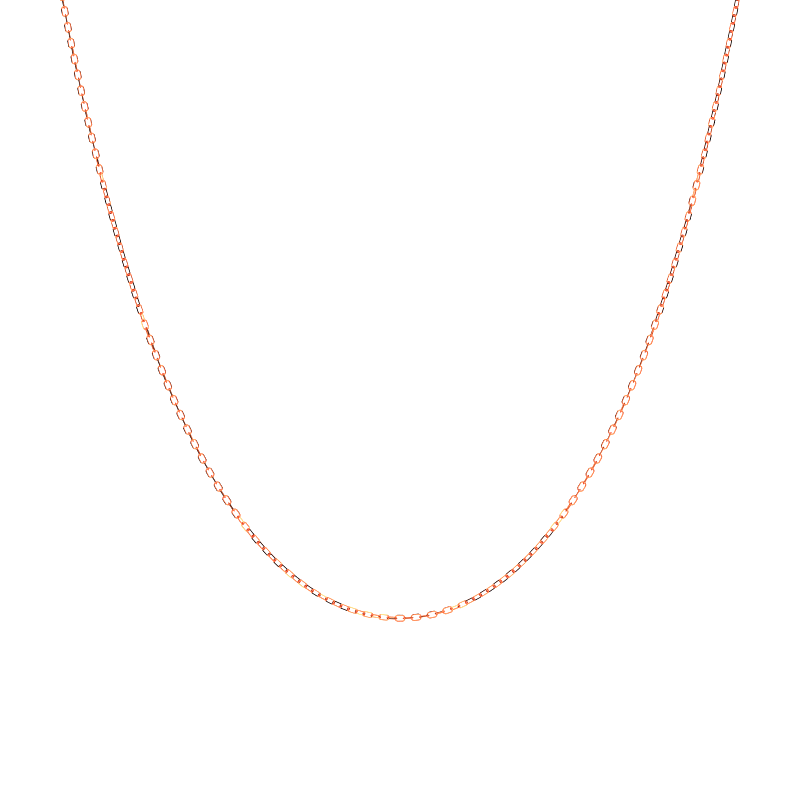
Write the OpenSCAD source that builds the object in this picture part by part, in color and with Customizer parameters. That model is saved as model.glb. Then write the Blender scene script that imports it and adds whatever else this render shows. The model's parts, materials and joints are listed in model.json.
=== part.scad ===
// Fine cable-chain necklace with a spring-ring clasp, lying unfastened on a flat surface.
// +Z is up and z = 0 is the surface. The front of the necklace is at -Y and its two ends face each
// other at +Y. The origin is the middle of the underside of the whole necklace.

/* [Chain link] */
// Outside length of a link
link_l = 2.04; // [2.02:0.01:2.1]
// Outside width of a link before its edges are cut flat
link_w = 1.34; // [1.32:0.01:1.4]
// Diameter of the link wire
wire_d = 0.28; // [0.26:0.01:0.29]
// Depth of the four diamond-cut flats, each halfway between the planes of crossing links
cut_depth = 0.05; // [0.05:0.01:0.07]
// Play between neighbouring links of the stretched chain
link_play = 0.04; // [0.03:0.01:0.05]
// Angle that single links lean out of line, one way or the other
link_lean = 4; // [0:1:5]
// Links in one run of chain
run_links = 7; // [5:2:7]
// Runs of chain on each side of the front run
side_runs = 21; // [18:1:21]

/* [Curve] */
// Radius of curvature at the front of the necklace, where the chain hangs as a catenary
drape_a = 25.5; // [24:0.5:30]
// Length of chain from the front to the place where it turns in toward the clasp
drape_s = 133; // [120:1:135]

/* [Jump rings] */
// Outside diameter of the round jump ring that holds the clasp
ring_od = 2.8; // [2.6:0.1:3.2]
// Wire of the round jump ring
ring_wire = 0.4; // [0.36:0.02:0.42]
// Outside length of the oval jump ring that holds the catch plate
oval_l = 2.3; // [2.2:0.1:2.6]
// Wire of the oval jump ring
oval_wire = 0.34; // [0.3:0.02:0.34]

/* [Clasp] */
// Outside diameter of the clasp ring
clasp_od = 5.5; // [5.3:0.1:6]
// Outside diameter of its tube
tube_d = 1.2; // [1.18:0.02:1.26]
// Bore of its tube
bore_d = 0.72; // [0.7:0.02:0.76]
// Diameter of the bolt that slides in the bore
bolt_d = 0.64; // [0.6:0.02:0.64]
// Angle of the mouth that the bolt closes
mouth_angle = 50; // [44:1:52]
// Angle that the bolt slides back through
bolt_travel = 56; // [52:1:58]
// Wire of the spring behind the bolt
spring_wire = 0.1; // [0.08:0.01:0.12]
// Turns of the spring
spring_turns = 15; // [12:1:16]

/* [Catch plate] */
// Thickness of the plate
plate_t = 0.32; // [0.28:0.02:0.36]
// Radius of the hole that the clasp hooks into
catch_hole_r = 0.95; // [0.9:0.05:1]
// Radius of the plate around that hole
catch_end_r = 1.55; // [1.5:0.05:1.7]
// Radius of the hole for the jump ring
eye_hole_r = 0.45; // [0.42:0.01:0.5]
// Distance between the two holes
hole_gap = 2.7; // [2.6:0.1:3]

/* [Hidden] */
$fn = 48;
gold = [0.87, 0.62, 0.51];
dark_gold = [0.78, 0.53, 0.43];
steel = [0.72, 0.72, 0.73];

// link and chain
pitch = link_l - 2 * wire_d - link_play;
leg_y = (link_w - wire_d) / 2;
flat_r = leg_y / sqrt(2) + wire_d / 2 - cut_depth;
chain_h = flat_r * sqrt(2);
half_links = (run_links * (2 * side_runs + 1) - 1) / 2;
half_run = (run_links - 1) / 2;
chain_s = half_links * pitch;

// twist of the chain about its own line: [total degrees, where it starts, where it ends]
right_twists = [
    [-50, 4, 16], [-40, 30, 41], [-33, 66, 81], [17, 90, 98], [-17, 98, 106], [-10, 112, 128], [-47, 150, 185]
];
left_twists = [[16, 0, 1.4], [34, 0, 15], [40, 30, 41], [-43, 64, 82], [43, 96, 107]];
// step of the lean from link to link, so chosen that the two end links don't lean
lean_step = 360 * round(0.38 * half_links) / half_links;

// route: a catenary, then an arc that ends pointing straight at the other end
drape_end = [
    drape_a * ln(drape_s / drape_a + sqrt(pow(drape_s / drape_a, 2) + 1)),
    sqrt(pow(drape_s, 2) + pow(drape_a, 2)) - drape_a
];
drape_end_angle = atan(drape_s / drape_a);
back_r = (chain_s - drape_s) * 180 / PI / (180 - drape_end_angle);
back_centre = drape_end + back_r * [-sin(drape_end_angle), cos(drape_end_angle)];
middle_y = (back_centre[1] + back_r + clasp_od / 2 - chain_h) / 2;

// hardware, along each end's own line from the middle of the last link's end wire
ring_r = (ring_od - ring_wire) / 2;
ring_x = ring_r - (wire_d + ring_wire) / 2 - link_play;
loop_od = 2 * chain_h;
loop_wire = 0.32;
loop_r = (loop_od - loop_wire) / 2;
loop_x = ring_x + ring_r - (ring_wire + loop_wire) / 2 - link_play + loop_r;
solder_depth = 0.1;
clasp_x = loop_x + loop_od / 2 - solder_depth + clasp_od / 2;
clasp_r = (clasp_od - tube_d) / 2;
oval_near_x = -(wire_d + oval_wire) / 2 - link_play;
oval_far_x = oval_near_x + oval_l - oval_wire;
eye_x = oval_far_x - oval_wire / 2 - link_play + eye_hole_r;
eye_end_r = 0.9;

// clasp angles, counter-clockwise from the direction away from the chain
mouth_mid = 60;
mouth_low = mouth_mid - mouth_angle / 2;
mouth_high = mouth_mid + mouth_angle / 2;
socket_depth_angle = 14;
bore_end = -162;
bolt_overlap_angle = 5;
bolt_tip = mouth_high + bolt_overlap_angle;
bolt_tail = -62;
nose_relief = 0.04;
bolt_nose_d = bolt_d - nose_relief;
bolt_lead = bolt_nose_d / 2 / clasp_r * 180 / PI;
knob_angle = -22;
knob_post_d = 0.36;
knob_head_d = 0.9;
knob_head_l = 0.5;
knob_stand_off = 0.28;
knob_post_r = clasp_od / 2 + knob_stand_off;
knob_cut_angle = 20;
slot_w = 0.46;
slot_play_angle = 7;
slot_low = knob_angle - bolt_travel - slot_play_angle;
slot_high = knob_angle + slot_play_angle;
mouth_cut_angle = 1;
spring_gap = 0.04;
spring_r = bore_d / 2 - spring_wire / 2 - spring_gap;
spring_play_angle = 3;
spring_steps = 8;
spring_sides = 5;

function clamp01(v) = max(0, min(1, v));
function ease(v, low, high) = let (t = clamp01((v - low) / (high - low))) t * t * (3 - 2 * t);
function twist_sum(v, steps) = let (parts = [for (p = steps) p[0] * ease(v, p[1], p[2])])
    parts * [for (p = parts) 1];
function twist(s) = s > 0 ? twist_sum(s, right_twists) : twist_sum(-s, left_twists);
// how far link number i is turned about the chain's line
function link_roll(i) = 90 * abs(i % 2) + twist(i * pitch) + link_lean * sin(lean_step * i);

// place and direction at a length s along the chain from its front
function half_point(q) = q <= drape_s
    ? [drape_a * ln(q / drape_a + sqrt(pow(q / drape_a, 2) + 1)), sqrt(q * q + drape_a * drape_a) - drape_a]
    : back_centre + back_r * [sin(half_angle(q)), -cos(half_angle(q))];
function half_angle(q) = q <= drape_s
    ? atan(q / drape_a)
    : drape_end_angle + (q - drape_s) / back_r * 180 / PI;
function route_point(s) = let (p = half_point(abs(s))) [sign(s) * p[0], p[1] - middle_y, chain_h];
function route_angle(s) = sign(s) * half_angle(abs(s));

// names of the runs, from the left end through the front run to the right end
function run_name(n) = n == 0 ? "run_front"
    : str(n < 0 ? "run_left_" : "run_right_", abs(n) < 10 ? "0" : "", abs(n));
RUNS = [-side_runs:side_runs];
HARDWARE = [
    "clasp_jump_ring", "clasp_end_loop", "clasp_body", "clasp_bolt", "clasp_thumb_knob",
    "clasp_spring", "catch_jump_ring", "catch_plate"
];

// an arc of round wire in the XY plane about the origin
module wire_arc(r, d, from, to) {
    rotate([0, 0, from])
        rotate_extrude(angle = to - from)
            translate([r, 0])
                circle(d = d);
}

// a closed oval of wire in the XY plane, its long way along X
module oval_ring(length, width, d) {
    leg = length - width;
    leg_y = (width - d) / 2;
    for (side = [0, 180])
        rotate([0, 0, side]) {
            translate([leg / 2, 0, 0])
                wire_arc(leg_y, d, -90, 90);
            translate([-leg / 2, leg_y, 0])
                rotate([0, 90, 0])
                    cylinder(d = d, h = leg);
        }
}

// one link: the four flats of the chain cut the outer edges of its two long sides
module link() {
    intersection() {
        oval_ring(link_l, link_w, wire_d);
        rotate([45, 0, 0])
            cube([2 * link_l, 2 * flat_r, 2 * flat_r], center = true);
    }
}

// run_links links in a row, each a quarter turn from the one before
module chain_run(n) {
    color(gold)
        for (i = [n * run_links - half_run:n * run_links + half_run])
            translate(route_point(i * pitch))
                rotate([0, 0, route_angle(i * pitch)])
                    rotate([link_roll(i), 0, 0])
                        link();
}

// the frame of one end: side is -1 for the clasp's end and 1 for the catch's, +X leads off the chain
module at_end(side) {
    angle = half_angle(chain_s);
    end_x = (link_l - wire_d) / 2;
    translate(route_point(side * chain_s))
        rotate([0, 0, side > 0 ? angle : 180 - angle])
            translate([end_x, 0, 0])
                children();
}

module clasp_jump_ring() {
    color(gold)
        at_end(-1)
            translate([ring_x, 0, 0])
                rotate_extrude()
                    translate([ring_r, 0])
                        circle(d = ring_wire);
}

// small standing loop, cut to the outside of the tube that it is soldered on
module clasp_end_loop() {
    color(gold)
        at_end(-1)
            difference() {
                translate([loop_x, 0, 0])
                    rotate([90, 0, 0])
                        rotate_extrude()
                            translate([loop_r, 0])
                                circle(d = loop_wire);
                translate([clasp_x, 0, 0])
                    wire_arc(clasp_r, tube_d, 90, 270);
            }
}

// C-shaped tube with a bore for the bolt and spring, a socket for the bolt's tip and a slot for the knob
module clasp_body() {
    color(gold)
        at_end(-1)
            translate([clasp_x, 0, 0])
                difference() {
                    wire_arc(clasp_r, tube_d, mouth_high, mouth_low + 360);
                    wire_arc(clasp_r, bore_d, bore_end, mouth_low + mouth_cut_angle);
                    wire_arc(clasp_r, bore_d, mouth_high - mouth_cut_angle, mouth_high + socket_depth_angle);
                    rotate([0, 0, slot_low])
                        rotate_extrude(angle = slot_high - slot_low)
                            translate([clasp_r, -slot_w / 2])
                                square([tube_d, slot_w]);
                }
}

module clasp_bolt() {
    color(dark_gold)
        at_end(-1)
            translate([clasp_x, 0, 0]) {
                wire_arc(clasp_r, bolt_d, bolt_tail, bolt_tip - bolt_lead);
                rotate([0, 0, bolt_tip - bolt_lead])
                    translate([clasp_r, 0, 0])
                        sphere(d = bolt_nose_d);
            }
}

// post and rounded head that stand out of the slot, set on the bolt
module clasp_thumb_knob() {
    color(gold)
        at_end(-1)
            translate([clasp_x, 0, 0])
                rotate([0, 0, knob_angle])
                    difference() {
                        rotate([0, 90, 0]) {
                            cylinder(d = knob_post_d, h = knob_post_r + knob_head_l / 2);
                            translate([0, 0, knob_post_r])
                                cylinder(d = knob_head_d, h = knob_head_l);
                            translate([0, 0, knob_post_r + knob_head_l])
                                intersection() {
                                    sphere(d = knob_head_d);
                                    cylinder(d = 2 * knob_head_d, h = knob_head_d / 3);
                                }
                        }
                        wire_arc(clasp_r, bolt_d, -knob_cut_angle, knob_cut_angle);
                        cube([2 * clasp_r, knob_head_d, knob_head_d], center = true);
                    }
}

// a point on the coil of the spring, which is wound about the middle line of the bore
function spring_axis_angle(t) = bore_end + spring_play_angle
    + t * (bolt_tail - bore_end - 2 * spring_play_angle);
function spring_point(t, r, turn) = let (a = spring_axis_angle(t), out = clasp_r + r * cos(turn))
    [out * cos(a), out * sin(a), r * sin(turn)];

// coil spring between the end of the bore and the tail of the bolt, swept round by round
module clasp_spring() {
    rings = spring_turns * spring_steps;
    points = [
        for (k = [0:rings], j = [0:spring_sides - 1])
            let (
                t = k / rings,
                turn = 360 * k / spring_steps,
                side = 360 * j / spring_sides,
                along = spring_wire / 2 * sin(side) / clasp_r * 180 / PI,
                r = spring_r + spring_wire / 2 * cos(side),
                p = spring_point(t, r, turn)
            )
            [p[0] * cos(along) - p[1] * sin(along), p[0] * sin(along) + p[1] * cos(along), p[2]]
    ];
    walls = [
        for (k = [0:rings - 1], j = [0:spring_sides - 1])
            let (a = k * spring_sides, b = a + spring_sides, m = (j + 1) % spring_sides)
            [a + j, a + m, b + m, b + j]
    ];
    caps = [
        [for (j = [spring_sides - 1:-1:0]) j],
        [for (j = [0:spring_sides - 1]) rings * spring_sides + j]
    ];
    color(steel)
        at_end(-1)
            translate([clasp_x, 0, 0])
                polyhedron(points, concat(walls, caps));
}

module catch_jump_ring() {
    color(gold)
        at_end(1)
            translate([(oval_near_x + oval_far_x) / 2, 0, 0])
                rotate([90, 0, 0])
                    oval_ring(oval_l, 2 * chain_h, oval_wire);
}

// flat plate with a small eye for its jump ring and a large hole for the clasp
module catch_plate() {
    lean = asin((catch_end_r - eye_end_r) / hole_gap);
    tangent = [-sin(lean), cos(lean)];
    catch_at = [hole_gap, 0];
    outline = [
        eye_end_r * tangent, catch_at + catch_end_r * tangent,
        catch_at + catch_end_r * [tangent[0], -tangent[1]], eye_end_r * [tangent[0], -tangent[1]]
    ];
    color(gold)
        at_end(1)
            translate([eye_x, 0, -plate_t / 2])
                difference() {
                    union() {
                        cylinder(r = eye_end_r, h = plate_t);
                        translate(catch_at) cylinder(r = catch_end_r, h = plate_t);
                        linear_extrude(height = plate_t) polygon(outline);
                    }
                    translate([0, 0, -plate_t]) {
                        cylinder(r = eye_hole_r, h = 3 * plate_t);
                        translate(catch_at) cylinder(r = catch_hole_r, h = 3 * plate_t);
                    }
                }
}

for (n = RUNS)
    chain_run(n);
clasp_jump_ring();
clasp_end_loop();
clasp_body();
clasp_bolt();
clasp_thumb_knob();
clasp_spring();
catch_jump_ring();
catch_plate();
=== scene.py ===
"""The looks of a fine rose-gold chain necklace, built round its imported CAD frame.

Every run of links is replaced by finer, faceted links at the places of its CAD links, and rides on
the same body. The two jump rings, the thumb knob and the catch plate are replaced by finer meshes
too. The clasp's tube, bolt, loop and spring stay as the CAD draws them and get materials.
"""

import json
import math
import random

import bmesh
import bpy
import numpy as np
from mathutils import Matrix, Vector
from mathutils.geometry import convex_hull_2d


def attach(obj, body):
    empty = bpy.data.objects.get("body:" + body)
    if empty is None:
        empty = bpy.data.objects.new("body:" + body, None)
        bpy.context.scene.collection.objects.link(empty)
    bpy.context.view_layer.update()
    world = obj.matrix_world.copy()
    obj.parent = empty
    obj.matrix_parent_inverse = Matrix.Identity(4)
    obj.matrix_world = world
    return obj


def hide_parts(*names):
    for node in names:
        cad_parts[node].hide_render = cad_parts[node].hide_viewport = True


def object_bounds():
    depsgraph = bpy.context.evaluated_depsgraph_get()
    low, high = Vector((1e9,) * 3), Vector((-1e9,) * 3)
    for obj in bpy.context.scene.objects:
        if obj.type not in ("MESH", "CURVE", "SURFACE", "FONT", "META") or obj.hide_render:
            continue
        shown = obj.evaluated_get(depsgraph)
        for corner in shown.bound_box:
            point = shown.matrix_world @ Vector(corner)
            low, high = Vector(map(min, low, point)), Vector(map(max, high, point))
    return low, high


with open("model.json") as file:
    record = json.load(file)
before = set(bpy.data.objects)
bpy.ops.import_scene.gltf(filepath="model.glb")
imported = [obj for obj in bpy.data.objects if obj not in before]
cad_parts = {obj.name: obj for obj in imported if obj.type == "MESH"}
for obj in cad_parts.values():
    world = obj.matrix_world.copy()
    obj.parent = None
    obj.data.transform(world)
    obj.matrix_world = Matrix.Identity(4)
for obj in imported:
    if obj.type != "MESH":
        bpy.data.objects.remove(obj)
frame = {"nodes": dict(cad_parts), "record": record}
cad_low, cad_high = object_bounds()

MM = 0.001
nodes, record = frame["nodes"], frame["record"]
scene = bpy.context.scene
rng = random.Random(11)

# the diamond cutting of a link: the depth of its flats in shares of the wire, and how they lean
CUT_DEPTH = 0.05 / 0.28
FLAT_LEANS = [[math.radians(a) for a in leans] for leans in (
    (0, 2, -2, 1), (-3, 1, 3, -1), (2, -4, 0, 3), (4, 0, -3, -2), (-1, 3, 1, -4))]

# how far a solid's measured axes may be turned to fit it
AXIS_SEARCH = math.radians(3)

# how finely the wire of a link is built
ARC_STEPS = 14
LEG_STEPS = 3
WIRE_SIDES = 16

# the picture: how much of the necklace it shows, and how far its middle is from the front
VIEW_WIDTH = 142.4 * MM
VIEW_FROM_FRONT = 39.5 * MM
LENS = 200
SENSOR = 36
PICTURE_GAMMA = 0.9
PIXEL_FILTER = 1.0

# the metals: how many patches of tone, smears of roughness and rub marks there are to a metre
PATCH_SCALE = 260
SMEAR_SCALE = 900
RUB_SCALE = 9000
RUB_DEPTH = 0.004 * MM

# the floor, which is set below the lowest that the chain reaches at any of its hinges' limits
FLOOR_DROP = 150 * MM
FLOOR_R = 2.4
FLOOR_BEND_R = 0.5
FLOOR_WALL_H = 0.5
FLOOR_GREY = 0.25
FLOOR_GLOW = 0.8

# the light tent: how bright it is overhead, round the sides and underneath, and between which heights
# of the direction one fades into the next
CEILING_LIGHT = 3.3
SIDE_LIGHT = 1.1
BELOW_LIGHT = 1.2
CEILING_FADE = (0.45, 0.65)
BELOW_FADE = (-0.8, -0.5)

# the dark camera arm overhead: where its edges fade, as x and y of the direction
ARM_HALF_WIDE = (0.20, 0.26)
ARM_WEST_END = (-0.55, -0.45)
ARM_EAST_END = (0.72, 0.82)

# grey cards round the sides: compass angle, angle fully dimmed, angle where it ends, and share of light left
CARDS = ((200, 30, 70, 0.05), (65, 35, 80, 0.22))

# the finish of the clasp parts
RING_STEPS = 32
RING_SIDES = 24
SEAM_GAP = 0.02 * MM
KNOB_HEAD = 0.95       # points farther out than this share of the largest radius belong to the head
KNOB_HEAD_GAP = 0.05 * MM
KNOB_RIM = 0.16        # in shares of the head's radius, like the waist
KNOB_WAIST = 0.05
KNOB_SIDES = 40
RIM_STEPS = 4
WAIST_STEPS = 8
DOME_STEPS = 10
PLATE_EDGE = 0.06 * MM
RIM_GAP = 0.2 * MM     # points nearer than this to the plate's outline are not on its holes
EDGE_STEPS = 4
HOLE_SIDES = 72


# ---------------------------------------------------------------- shapes

def solids(obj):
    """The separate solids of a mesh, each as an array of its points."""
    me = obj.data
    co = np.zeros(len(me.vertices) * 3, np.float32)
    me.vertices.foreach_get("co", co)
    co = co.reshape(-1, 3).astype(float)
    _, first, same = np.unique(np.round(co / (0.001 * MM)), axis=0, return_index=True, return_inverse=True)
    same = same.ravel()
    edges = np.zeros(len(me.edges) * 2, np.int32)
    me.edges.foreach_get("vertices", edges)
    a, b = same[edges.reshape(-1, 2)].T
    label = np.arange(len(first))
    while True:
        low = np.minimum(label[a], label[b])
        new = label.copy()
        np.minimum.at(new, a, low)
        np.minimum.at(new, b, low)
        new = new[new]
        if (new == label).all():
            break
        label = new
    points = co[first]
    parts = [points[label == k] for k in np.unique(label)]
    return sorted(parts, key=lambda p: tuple(np.round(p.mean(0), 5)))


def own_frame(points):
    """A solid's middle, its long, middle and short axes, and its size along each.

    The middle axis is turned, within a few degrees, to where the solid is narrowest."""
    spread = points - points.mean(0)
    axes = np.linalg.eigh(spread.T @ spread)[1][:, ::-1].T
    axes[2] = np.cross(axes[0], axes[1])
    turns = np.linspace(-AXIS_SEARCH, AXIS_SEARCH, 121)
    across = np.outer(np.cos(turns), axes[1]) + np.outer(np.sin(turns), axes[0])
    axes[1] = across[np.argmin(np.ptp(points @ across.T, axis=0))]
    axes[0] = np.cross(axes[1], axes[2])
    along = points @ axes.T
    size = along.max(0) - along.min(0)
    middle = ((along.max(0) + along.min(0)) / 2) @ axes
    return middle, axes, size


def placed(middle, axes):
    """The matrix that puts a mesh drawn in its own frame at a middle, along three axes."""
    m = Matrix(np.array(axes).T.tolist()).to_4x4()
    m.translation = Vector(middle)
    return m


def oval(length, width, wire, arc_steps=ARC_STEPS, leg_steps=LEG_STEPS):
    """The middle line of an oval ring of wire, as points and outward directions."""
    r = (width - wire) / 2
    leg = (length - width) / 2
    line = []
    for side in (1, -1):
        for k in range(arc_steps):
            a = -math.pi / 2 + math.pi * k / arc_steps
            out = Vector((math.cos(a), math.sin(a), 0)) * side
            line.append((Vector((side * leg, 0, 0)) + r * out, out))
        for k in range(leg_steps):
            out = Vector((0, side, 0))
            line.append((Vector((side * leg * (1 - 2 * k / leg_steps), side * r, 0)), out))
    return line


def wire_ring(bm, line, radius, sides, closed=True):
    """Sweeps a round wire along a line of points with outward directions in the XY plane."""
    up = Vector((0, 0, 1))
    rings = []
    for p, out in line:
        ring = []
        for k in range(sides):
            a = 2 * math.pi * (k + 0.5) / sides
            ring.append(bm.verts.new(p + radius * (math.cos(a) * out + math.sin(a) * up)))
        rings.append(ring)
    pairs = list(zip(rings, rings[1:] + rings[:1])) if closed else list(zip(rings, rings[1:]))
    for r0, r1 in pairs:
        for k in range(sides):
            m = (k + 1) % sides
            bm.faces.new((r0[k], r1[k], r1[m], r0[m]))
    return rings


def cut_flat(bm, facet, point, normal):
    """Cuts a flat: removes what stands past the plane and closes the cut with one polished face."""
    geom = bm.verts[:] + bm.edges[:] + bm.faces[:]
    bmesh.ops.bisect_plane(bm, geom=geom, dist=1e-8, plane_co=point, plane_no=normal, clear_outer=True)
    rim = [e for e in bm.edges if len(e.link_faces) == 1]
    for f in bmesh.ops.holes_fill(bm, edges=rim, sides=0)["faces"]:
        f[facet] = 1.0


def mark_sharp(bm, facet):
    """Smooths the round wire and keeps the rims of the flats sharp."""
    for f in bm.faces:
        f.smooth = True
    for e in bm.edges:
        e.smooth = all(f[facet] < 0.5 for f in e.link_faces)


def link_proto(size, leans):
    """One link in its own frame, with four flats halfway between its plane and its neighbours'."""
    length, width, wire = size
    flat_out = wire / 2 * (1 - 2 * CUT_DEPTH)
    full_width = width + wire - 2 * math.sqrt(2) * flat_out
    side = Vector((0, (full_width - wire) / 2, 0))
    bm = bmesh.new()
    facet = bm.faces.layers.float.new("facet")
    wire_ring(bm, oval(length, full_width, wire), wire / 2, WIRE_SIDES)
    for k, lean in enumerate(leans):
        a = math.radians(45 + 90 * k)
        normal = Vector((0, math.cos(a + lean), math.sin(a + lean)))
        point = math.copysign(1, math.cos(a)) * side + flat_out * Vector((0, math.cos(a), math.sin(a)))
        cut_flat(bm, facet, point, normal)
    for v in bm.verts:  # the leaning flats may not make the link wider than its CAD link
        v.co.y = max(-width / 2, min(width / 2, v.co.y))
    bmesh.ops.recalc_face_normals(bm, faces=bm.faces)
    mark_sharp(bm, facet)
    me = bpy.data.meshes.new("link_proto")
    bm.to_mesh(me)
    bm.free()
    return me


def ring_with_seam(bm, size):
    """A bent ring of wire whose two cut ends nearly meet."""
    length, width, wire = size
    is_oval = length - width > wire / 4
    line = oval(length, width, wire, RING_STEPS, 2 if is_oval else 0)
    line = line[-1:] + line[:-1]
    start, out = line[0]
    tangent = (line[1][0] - line[-1][0]).normalized()
    line.append((start - SEAM_GAP * tangent, out))
    rings = wire_ring(bm, line, wire / 2, RING_SIDES, closed=False)
    bm.faces.new(rings[0])
    bm.faces.new(rings[-1][::-1])


def turned(bm, profile, sides):
    """A solid turned about X from points of (distance along X, radius), the first and last on the axis."""
    rings = []
    for x, r in profile[1:-1]:
        ring = []
        for k in range(sides):
            a = 2 * math.pi * k / sides
            ring.append(bm.verts.new((x, r * math.cos(a), r * math.sin(a))))
        rings.append(ring)
    for r0, r1 in zip(rings, rings[1:]):
        for k in range(sides):
            m = (k + 1) % sides
            bm.faces.new((r0[k], r0[m], r1[m], r1[k]))
    for (x, _), ring in ((profile[0], rings[0]), (profile[-1], rings[-1])):
        tip = bm.verts.new((x, 0, 0))
        for k in range(sides):
            bm.faces.new((tip, ring[k], ring[(k + 1) % sides]))
    bmesh.ops.recalc_face_normals(bm, faces=bm.faces)


def knob_profile(along, out):
    """The thumb knob's post and head, measured on its CAD points, with a rounded rim, a waist and a dome."""
    low, high, head_r = along.min(), along.max(), out.max()
    head = along[out > KNOB_HEAD * head_r]
    head_low, shoulder = head.min(), head.max()
    post_r = out[along < head_low - KNOB_HEAD_GAP].max()
    rim = KNOB_RIM * head_r
    profile = [(low, 0), (low, post_r), (head_low, post_r)]
    for k in range(RIM_STEPS + 1):
        a = math.pi / 2 * k / RIM_STEPS
        profile.append((head_low + rim * (1 - math.cos(a)), head_r - rim * (1 - math.sin(a))))
    for k in range(1, WAIST_STEPS):
        t = k / WAIST_STEPS
        profile.append((head_low + rim + (shoulder - head_low - rim) * t,
                        head_r * (1 - KNOB_WAIST * math.sin(math.pi * t) ** 2)))
    for k in range(DOME_STEPS):
        a = math.pi / 2 * k / DOME_STEPS
        profile.append((shoulder + (high - shoulder) * math.sin(a), head_r * math.cos(a)))
    profile.append((high, 0))
    return profile


def plate_loops(points):
    """The plan of the flat plate: its outline and its two round holes, measured on its CAD points."""
    plan = np.unique(np.round(points[:, :2], 7), axis=0)
    hull = convex_hull_2d([Vector(p) for p in plan.tolist()])
    outline = [Vector(plan[k]) for k in hull]
    gaps = np.linalg.norm(plan[:, None] - plan[hull], axis=2).min(1)
    inside = plan[gaps > RIM_GAP]
    long_way = np.linalg.eigh(np.cov(plan.T))[1][:, 1]
    inside = inside[np.argsort(inside @ long_way)]
    along = inside @ long_way
    split = int(np.argmax(np.diff(along))) + 1
    holes = []
    for rim in (inside[:split], inside[split:]):
        middle = (rim.min(0) + rim.max(0)) / 2
        holes.append((Vector(middle), float(np.linalg.norm(rim - middle, axis=1).max())))
    return outline, holes


def rounded_plate(bm, points):
    """The plate with rounded edges: walls swept along its outline and holes, closed top and bottom."""
    outline, holes = plate_loops(points)
    low, high = points[:, 2].min(), points[:, 2].max()
    steps = [math.pi / 2 * k / EDGE_STEPS for k in range(EDGE_STEPS + 1)]
    rounds = [(PLATE_EDGE * (1 - math.cos(a)), PLATE_EDGE * (1 - math.sin(a))) for a in steps]
    profile = [(inset, low + rise) for inset, rise in rounds[::-1]]
    profile += [(inset, high - rise) for inset, rise in rounds]
    inward = []
    for k, p in enumerate(outline):
        tangent = outline[(k + 1) % len(outline)] - outline[k - 1]
        normal = Vector((-tangent.y, tangent.x)).normalized()
        if normal.dot(sum(outline, Vector((0, 0))) / len(outline) - p) < 0:
            normal.negate()
        inward.append(normal)
    walls = [[[bm.verts.new((*(p + inset * n), z)) for p, n in zip(outline, inward)] for inset, z in profile]]
    for middle, r in holes:
        turns = [2 * math.pi * k / HOLE_SIDES for k in range(HOLE_SIDES)]
        outward = [Vector((math.cos(a), math.sin(a))) for a in turns]
        walls.append([[bm.verts.new((*(middle + (r + inset) * n), z)) for n in outward]
                      for inset, z in profile])
    for loops in walls:
        for l0, l1 in zip(loops, loops[1:]):
            for k in range(len(l0)):
                m = (k + 1) % len(l0)
                bm.faces.new((l0[k], l0[m], l1[m], l1[k])).smooth = True
    for level in (0, -1):
        rims = [bm.edges.get((loops[level][k - 1], loops[level][k])) for loops in walls
                for k in range(len(loops[level]))]
        bmesh.ops.triangle_fill(bm, edges=rims, use_beauty=True)
    bmesh.ops.recalc_face_normals(bm, faces=bm.faces)


def finish_hardware(name, bm, material):
    """Puts a finished mesh in the place of a CAD node."""
    piece = new_piece(name + "_finished", bm, [material])
    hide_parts(name)
    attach(piece, next(body for body, held in record["behaviour"]["bodies"].items() if name in held))


def new_piece(name, bm, materials):
    """A new object of the scene from a mesh that is finished with."""
    me = bpy.data.meshes.new(name)
    bm.to_mesh(me)
    bm.free()
    for m in materials:
        me.materials.append(m)
    obj = bpy.data.objects.new(name, me)
    scene.collection.objects.link(obj)
    return obj


# ---------------------------------------------------------------- materials

def node_tree(name):
    """A new material with its node tree and its shader."""
    mat = bpy.data.materials.new(name)
    mat.use_nodes = True
    tree = mat.node_tree
    bsdf = tree.nodes["Principled BSDF"]
    return mat, tree, bsdf


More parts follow.
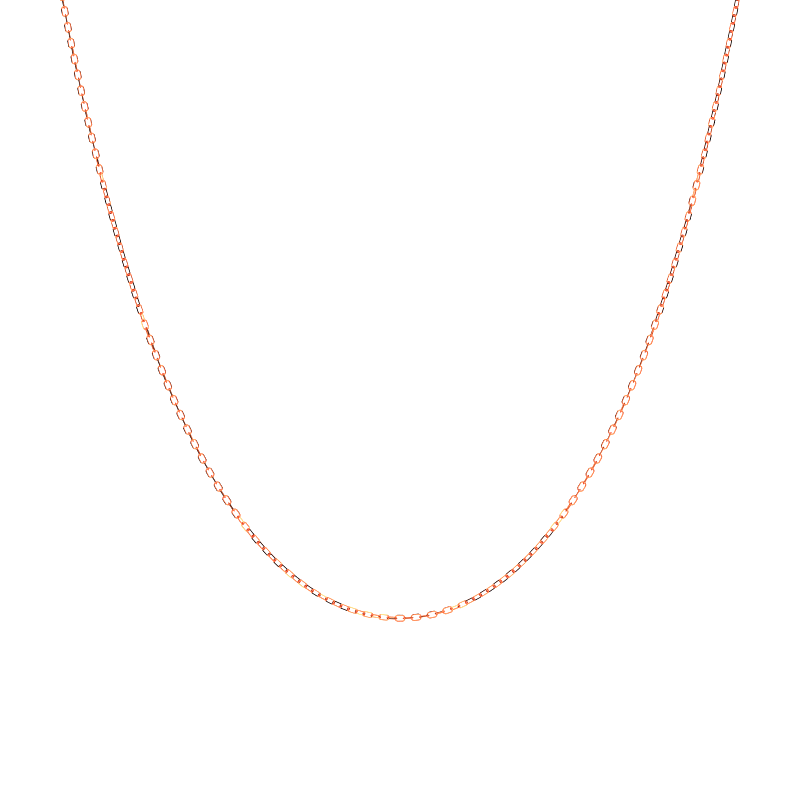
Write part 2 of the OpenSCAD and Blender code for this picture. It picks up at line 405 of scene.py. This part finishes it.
def metal(name, tones, rough, facet_tone, facet_rough, scratch=0.35):
    """A polished metal: two mixed tones, soft smears of roughness, fine rub marks, and mirror-bright cuts."""
    mat, tree, bsdf = node_tree(name)
    new, link = tree.nodes.new, tree.links.new
    bsdf.inputs["Metallic"].default_value = 1.0
    where = new("ShaderNodeTexCoord").outputs["Object"]

    def noise(scale, detail):
        n = new("ShaderNodeTexNoise")
        n.inputs["Scale"].default_value = scale
        n.inputs["Detail"].default_value = detail
        link(where, n.inputs["Vector"])
        return n.outputs["Fac"]

    def ramp(value, low, high, to_low, to_high):
        r = new("ShaderNodeMapRange")
        for k, v in zip(("From Min", "From Max", "To Min", "To Max"), (low, high, to_low, to_high)):
            r.inputs[k].default_value = v
        link(value, r.inputs["Value"])
        return r.outputs["Result"]

    patches = noise(PATCH_SCALE, 3)
    mix = new("ShaderNodeMix")
    mix.data_type = "RGBA"
    link(ramp(patches, 0.35, 0.65, 0.0, 1.0), mix.inputs["Factor"])
    mix.inputs[6].default_value = (*tones[0], 1)
    mix.inputs[7].default_value = (*tones[1], 1)
    facet = new("ShaderNodeAttribute")
    facet.attribute_name = "facet"
    tint = new("ShaderNodeMix")
    tint.data_type = "RGBA"
    link(facet.outputs["Fac"], tint.inputs["Factor"])
    link(mix.outputs[2], tint.inputs[6])
    tint.inputs[7].default_value = (*facet_tone, 1)
    link(tint.outputs[2], bsdf.inputs["Base Color"])

    smear = ramp(noise(SMEAR_SCALE, 4), 0.3, 0.7, rough * 0.7, rough * 1.4)
    choose = new("ShaderNodeMix")
    choose.data_type = "FLOAT"
    link(facet.outputs["Fac"], choose.inputs["Factor"])
    link(smear, choose.inputs["A"])
    choose.inputs["B"].default_value = facet_rough
    link(choose.outputs["Result"], bsdf.inputs["Roughness"])

    bump = new("ShaderNodeBump")
    bump.inputs["Strength"].default_value = scratch
    bump.inputs["Distance"].default_value = RUB_DEPTH
    link(noise(RUB_SCALE, 2), bump.inputs["Height"])
    link(bump.outputs["Normal"], bsdf.inputs["Normal"])
    return mat


# each metal: its two tones, its roughness, the tone and roughness of its cuts, and how strong its rubs are
FRESH_CUT = (1.0, 0.25, 0.10)
BRIGHT_STEEL = (0.7, 0.7, 0.7)
link_gold = metal("link_gold", [(0.97, 0.235, 0.09), (1.0, 0.275, 0.115)], 0.13, FRESH_CUT, 0.03)
clasp_gold = metal("clasp_gold", [(0.98, 0.36, 0.18), (1.0, 0.42, 0.23)], 0.14, FRESH_CUT, 0.06, 0.2)
plate_gold = metal("plate_gold", [(0.98, 0.38, 0.20), (1.0, 0.43, 0.24)], 0.45, FRESH_CUT, 0.06, 0.5)
bolt_gold = metal("bolt_gold", [(0.94, 0.34, 0.17), (0.97, 0.38, 0.21)], 0.18, FRESH_CUT, 0.08, 0.3)
spring_steel = metal("spring_steel", [(0.58, 0.57, 0.56), (0.66, 0.65, 0.64)], 0.28, BRIGHT_STEEL, 0.2, 0.4)


# ---------------------------------------------------------------- the chain

run_names = sorted(n for n in nodes if n.startswith("run_"))
link_size = np.median([own_frame(p)[2] for p in solids(nodes["run_front"])], axis=0).tolist()
protos = [link_proto(link_size, leans) for leans in FLAT_LEANS]

for name in run_names:
    bm = bmesh.new()
    for points in solids(nodes[name]):
        middle, axes, _ = own_frame(points)
        start = len(bm.verts)
        bm.from_mesh(rng.choice(protos))
        bm.verts.ensure_lookup_table()
        bmesh.ops.transform(bm, matrix=placed(middle, axes), verts=bm.verts[start:])
    piece = new_piece(name.replace("run", "links"), bm, [link_gold])
    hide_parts(name)
    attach(piece, name)


# ---------------------------------------------------------------- the clasp and the catch

for name, mat in (("clasp_body", clasp_gold), ("clasp_end_loop", clasp_gold), ("clasp_bolt", bolt_gold),
                  ("clasp_spring", spring_steel)):
    nodes[name].data.materials.clear()
    nodes[name].data.materials.append(mat)

for name in ("clasp_jump_ring", "catch_jump_ring"):
    middle, axes, size = own_frame(solids(nodes[name])[0])
    bm = bmesh.new()
    ring_with_seam(bm, size.tolist())
    for f in bm.faces:
        f.smooth = len(f.verts) == 4
    bmesh.ops.transform(bm, matrix=placed(middle, axes), verts=bm.verts)
    bmesh.ops.recalc_face_normals(bm, faces=bm.faces)
    finish_hardware(name, bm, clasp_gold)

bolt_joint = next(j for j in record["behaviour"]["joints"] if j["name"] == "bolt_slide")
clasp_middle = np.array(bolt_joint["pos_m"])
knob = solids(nodes["clasp_thumb_knob"])[0] - clasp_middle
knob_way = (knob.min(0) + knob.max(0)) * (1, 1, 0)
knob_way /= np.linalg.norm(knob_way)
along = knob @ knob_way
profile = knob_profile(along, np.linalg.norm(knob - np.outer(along, knob_way), axis=1))
bm = bmesh.new()
turned(bm, profile, KNOB_SIDES)
for f in bm.faces:
    f.smooth = True
knob_axes = [knob_way, np.cross((0, 0, 1), knob_way), (0, 0, 1)]
bmesh.ops.transform(bm, matrix=placed(clasp_middle, knob_axes), verts=bm.verts)
finish_hardware("clasp_thumb_knob", bm, clasp_gold)

bm = bmesh.new()
rounded_plate(bm, solids(nodes["catch_plate"])[0])
finish_hardware("catch_plate", bm, plate_gold)


# ---------------------------------------------------------------- floor, light and camera

def floor_bowl():
    """A wide pale floor that curves up into a low wall all round."""
    profile = [(0.0, 0.0), (FLOOR_R / 5, 0.0), (FLOOR_R, 0.0)]
    profile += [(FLOOR_R + FLOOR_BEND_R * math.sin(a), FLOOR_BEND_R * (1 - math.cos(a)))
                for a in (math.pi / 2 * k / 8 for k in range(1, 9))]
    profile.append((FLOOR_R + FLOOR_BEND_R, FLOOR_BEND_R + FLOOR_WALL_H))
    bm = bmesh.new()
    verts = [bm.verts.new((r, 0, z)) for r, z in profile]
    edges = [bm.edges.new(pair) for pair in zip(verts, verts[1:])]
    bmesh.ops.spin(bm, geom=verts + edges, cent=(0, 0, 0), axis=(0, 0, 1), angle=2 * math.pi, steps=48,
                   use_merge=True)
    bmesh.ops.remove_doubles(bm, verts=bm.verts, dist=1e-5)
    bmesh.ops.recalc_face_normals(bm, faces=bm.faces)
    for f in bm.faces:
        f.smooth = True
    mat, tree, bsdf = node_tree("floor")
    bsdf.inputs["Base Color"].default_value = (FLOOR_GREY, FLOOR_GREY, FLOOR_GREY, 1)
    bsdf.inputs["Roughness"].default_value = 0.9
    bsdf.inputs["Specular IOR Level"].default_value = 0.1
    bsdf.inputs["Emission Color"].default_value = (1, 1, 1, 1)
    bsdf.inputs["Emission Strength"].default_value = FLOOR_GLOW
    obj = new_piece("floor", bm, [mat])
    obj.location.z = -FLOOR_DROP
    obj.visible_glossy = False


def studio_world():
    """A light tent: a soft ceiling with a dark camera arm across it, sides with grey cards, and a base."""
    world = bpy.data.worlds.new("studio")
    world.use_nodes = True
    scene.world = world
    tree = world.node_tree
    new, link = tree.nodes.new, tree.links.new
    where = new("ShaderNodeTexCoord").outputs["Generated"]
    split = new("ShaderNodeSeparateXYZ")
    link(where, split.inputs["Vector"])

    def ramp(value, low, high, to_low, to_high):
        r = new("ShaderNodeMapRange")
        r.interpolation_type = "SMOOTHSTEP"
        for k, v in zip(("From Min", "From Max", "To Min", "To Max"), (low, high, to_low, to_high)):
            r.inputs[k].default_value = v
        link(value, r.inputs["Value"])
        return r.outputs["Result"]

    def math_node(kind, a, b):
        m = new("ShaderNodeMath")
        m.operation = kind
        for socket, v in zip(m.inputs, (a, b)):
            if isinstance(v, (int, float)):
                socket.default_value = v
            else:
                link(v, socket)
        return m.outputs[0]

    def times(*values):
        product = values[0]
        for v in values[1:]:
            product = math_node("MULTIPLY", product, v)
        return product

    def card(azimuth, near, far, dimmed):
        """Dims the directions round a compass angle: fully within near degrees, and not at all past far."""
        a = math.radians(azimuth)
        dot = new("ShaderNodeVectorMath")
        dot.operation = "DOT_PRODUCT"
        link(where, dot.inputs[0])
        dot.inputs[1].default_value = (math.cos(a), math.sin(a), 0)
        fade = (math.cos(math.radians(far)), math.cos(math.radians(near)))
        return ramp(dot.outputs["Value"], *fade, 1, dimmed)

    x, y, z = (split.outputs[k] for k in "XYZ")
    arm = times(ramp(math_node("ABSOLUTE", y, 0), *ARM_HALF_WIDE, 1, 0), ramp(x, *ARM_WEST_END, 0, 1),
                ramp(x, *ARM_EAST_END, 1, 0))
    ceiling = times(ramp(z, *CEILING_FADE, 0, CEILING_LIGHT), math_node("SUBTRACT", 1, arm))
    sides = times(ramp(z, *CEILING_FADE, SIDE_LIGHT, 0), ramp(z, *BELOW_FADE, 0, 1),
                  *(card(*c) for c in CARDS))
    below = ramp(z, *BELOW_FADE, BELOW_LIGHT, 0)
    total = math_node("ADD", math_node("ADD", ceiling, sides), below)
    link(total, tree.nodes["Background"].inputs["Strength"])
    tree.nodes["Background"].inputs["Color"].default_value = (1.0, 0.985, 0.965, 1)


floor_bowl()
studio_world()

centre = Vector((0, cad_low.y + VIEW_FROM_FRONT, (cad_low.z + cad_high.z) / 2))
camera = bpy.data.objects.new("camera", bpy.data.cameras.new("camera"))
scene.collection.objects.link(camera)
camera.data.lens = LENS
camera.data.sensor_width = SENSOR
camera.location = centre + Vector((0, 0, VIEW_WIDTH * LENS / SENSOR))
camera.data.clip_start, camera.data.clip_end = 0.01, 20
scene.camera = camera
scene.view_settings.view_transform = "Standard"
scene.view_settings.gamma = PICTURE_GAMMA
scene.cycles.filter_width = PIXEL_FILTER
